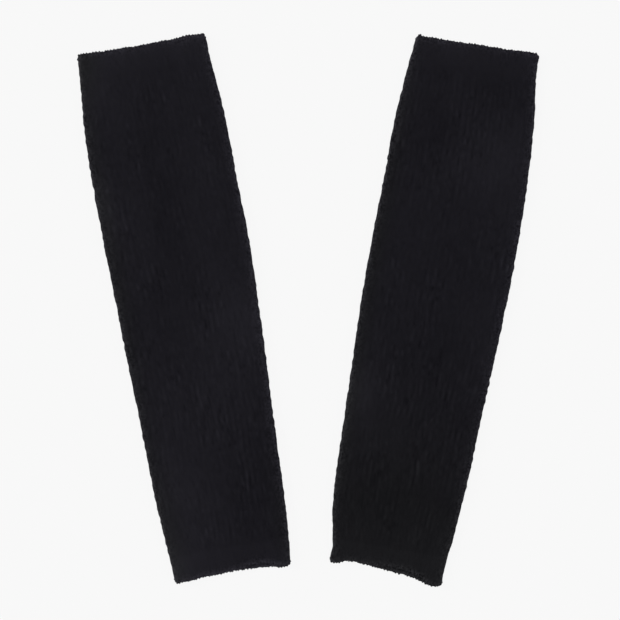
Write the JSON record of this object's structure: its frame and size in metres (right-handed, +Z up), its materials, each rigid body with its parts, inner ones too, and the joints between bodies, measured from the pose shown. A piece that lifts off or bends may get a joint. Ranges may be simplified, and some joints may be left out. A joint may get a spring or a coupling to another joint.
{
  "type": "pair of knitted leg warmers, laid flat",
  "caption": "Pair of black rib-knit leg warmers with plain cuffs, lying flat side by side, each a knee-to-ankle tube that narrows towards the ankle.",
  "frame": {"origin": "on the surface that the pair lies on, under the middle of the pair's bounding box", "axes": "+Y from the ankles to the knees, halfway between the two legs, which splay 10 degrees to each side of it; +X to the right seen from above; +Z up, out of the surface"},
  "size_m": [0.368, 0.4412, 0.006],
  "materials": {
    "rib_knit": "black brushed yarn in a soft lengthwise rib, matt with a faint cool sheen",
    "plain_knit": "the same black yarn in a closer plain knit, matt, with a looped turned hem"
  },
  "bodies": {
    "root": {"left_leg": "rib_knit", "left_knee_cuff": "plain_knit", "left_ankle_cuff": "plain_knit", "right_leg": "rib_knit", "right_knee_cuff": "plain_knit", "right_ankle_cuff": "plain_knit"}
  },
  "joints": []
}
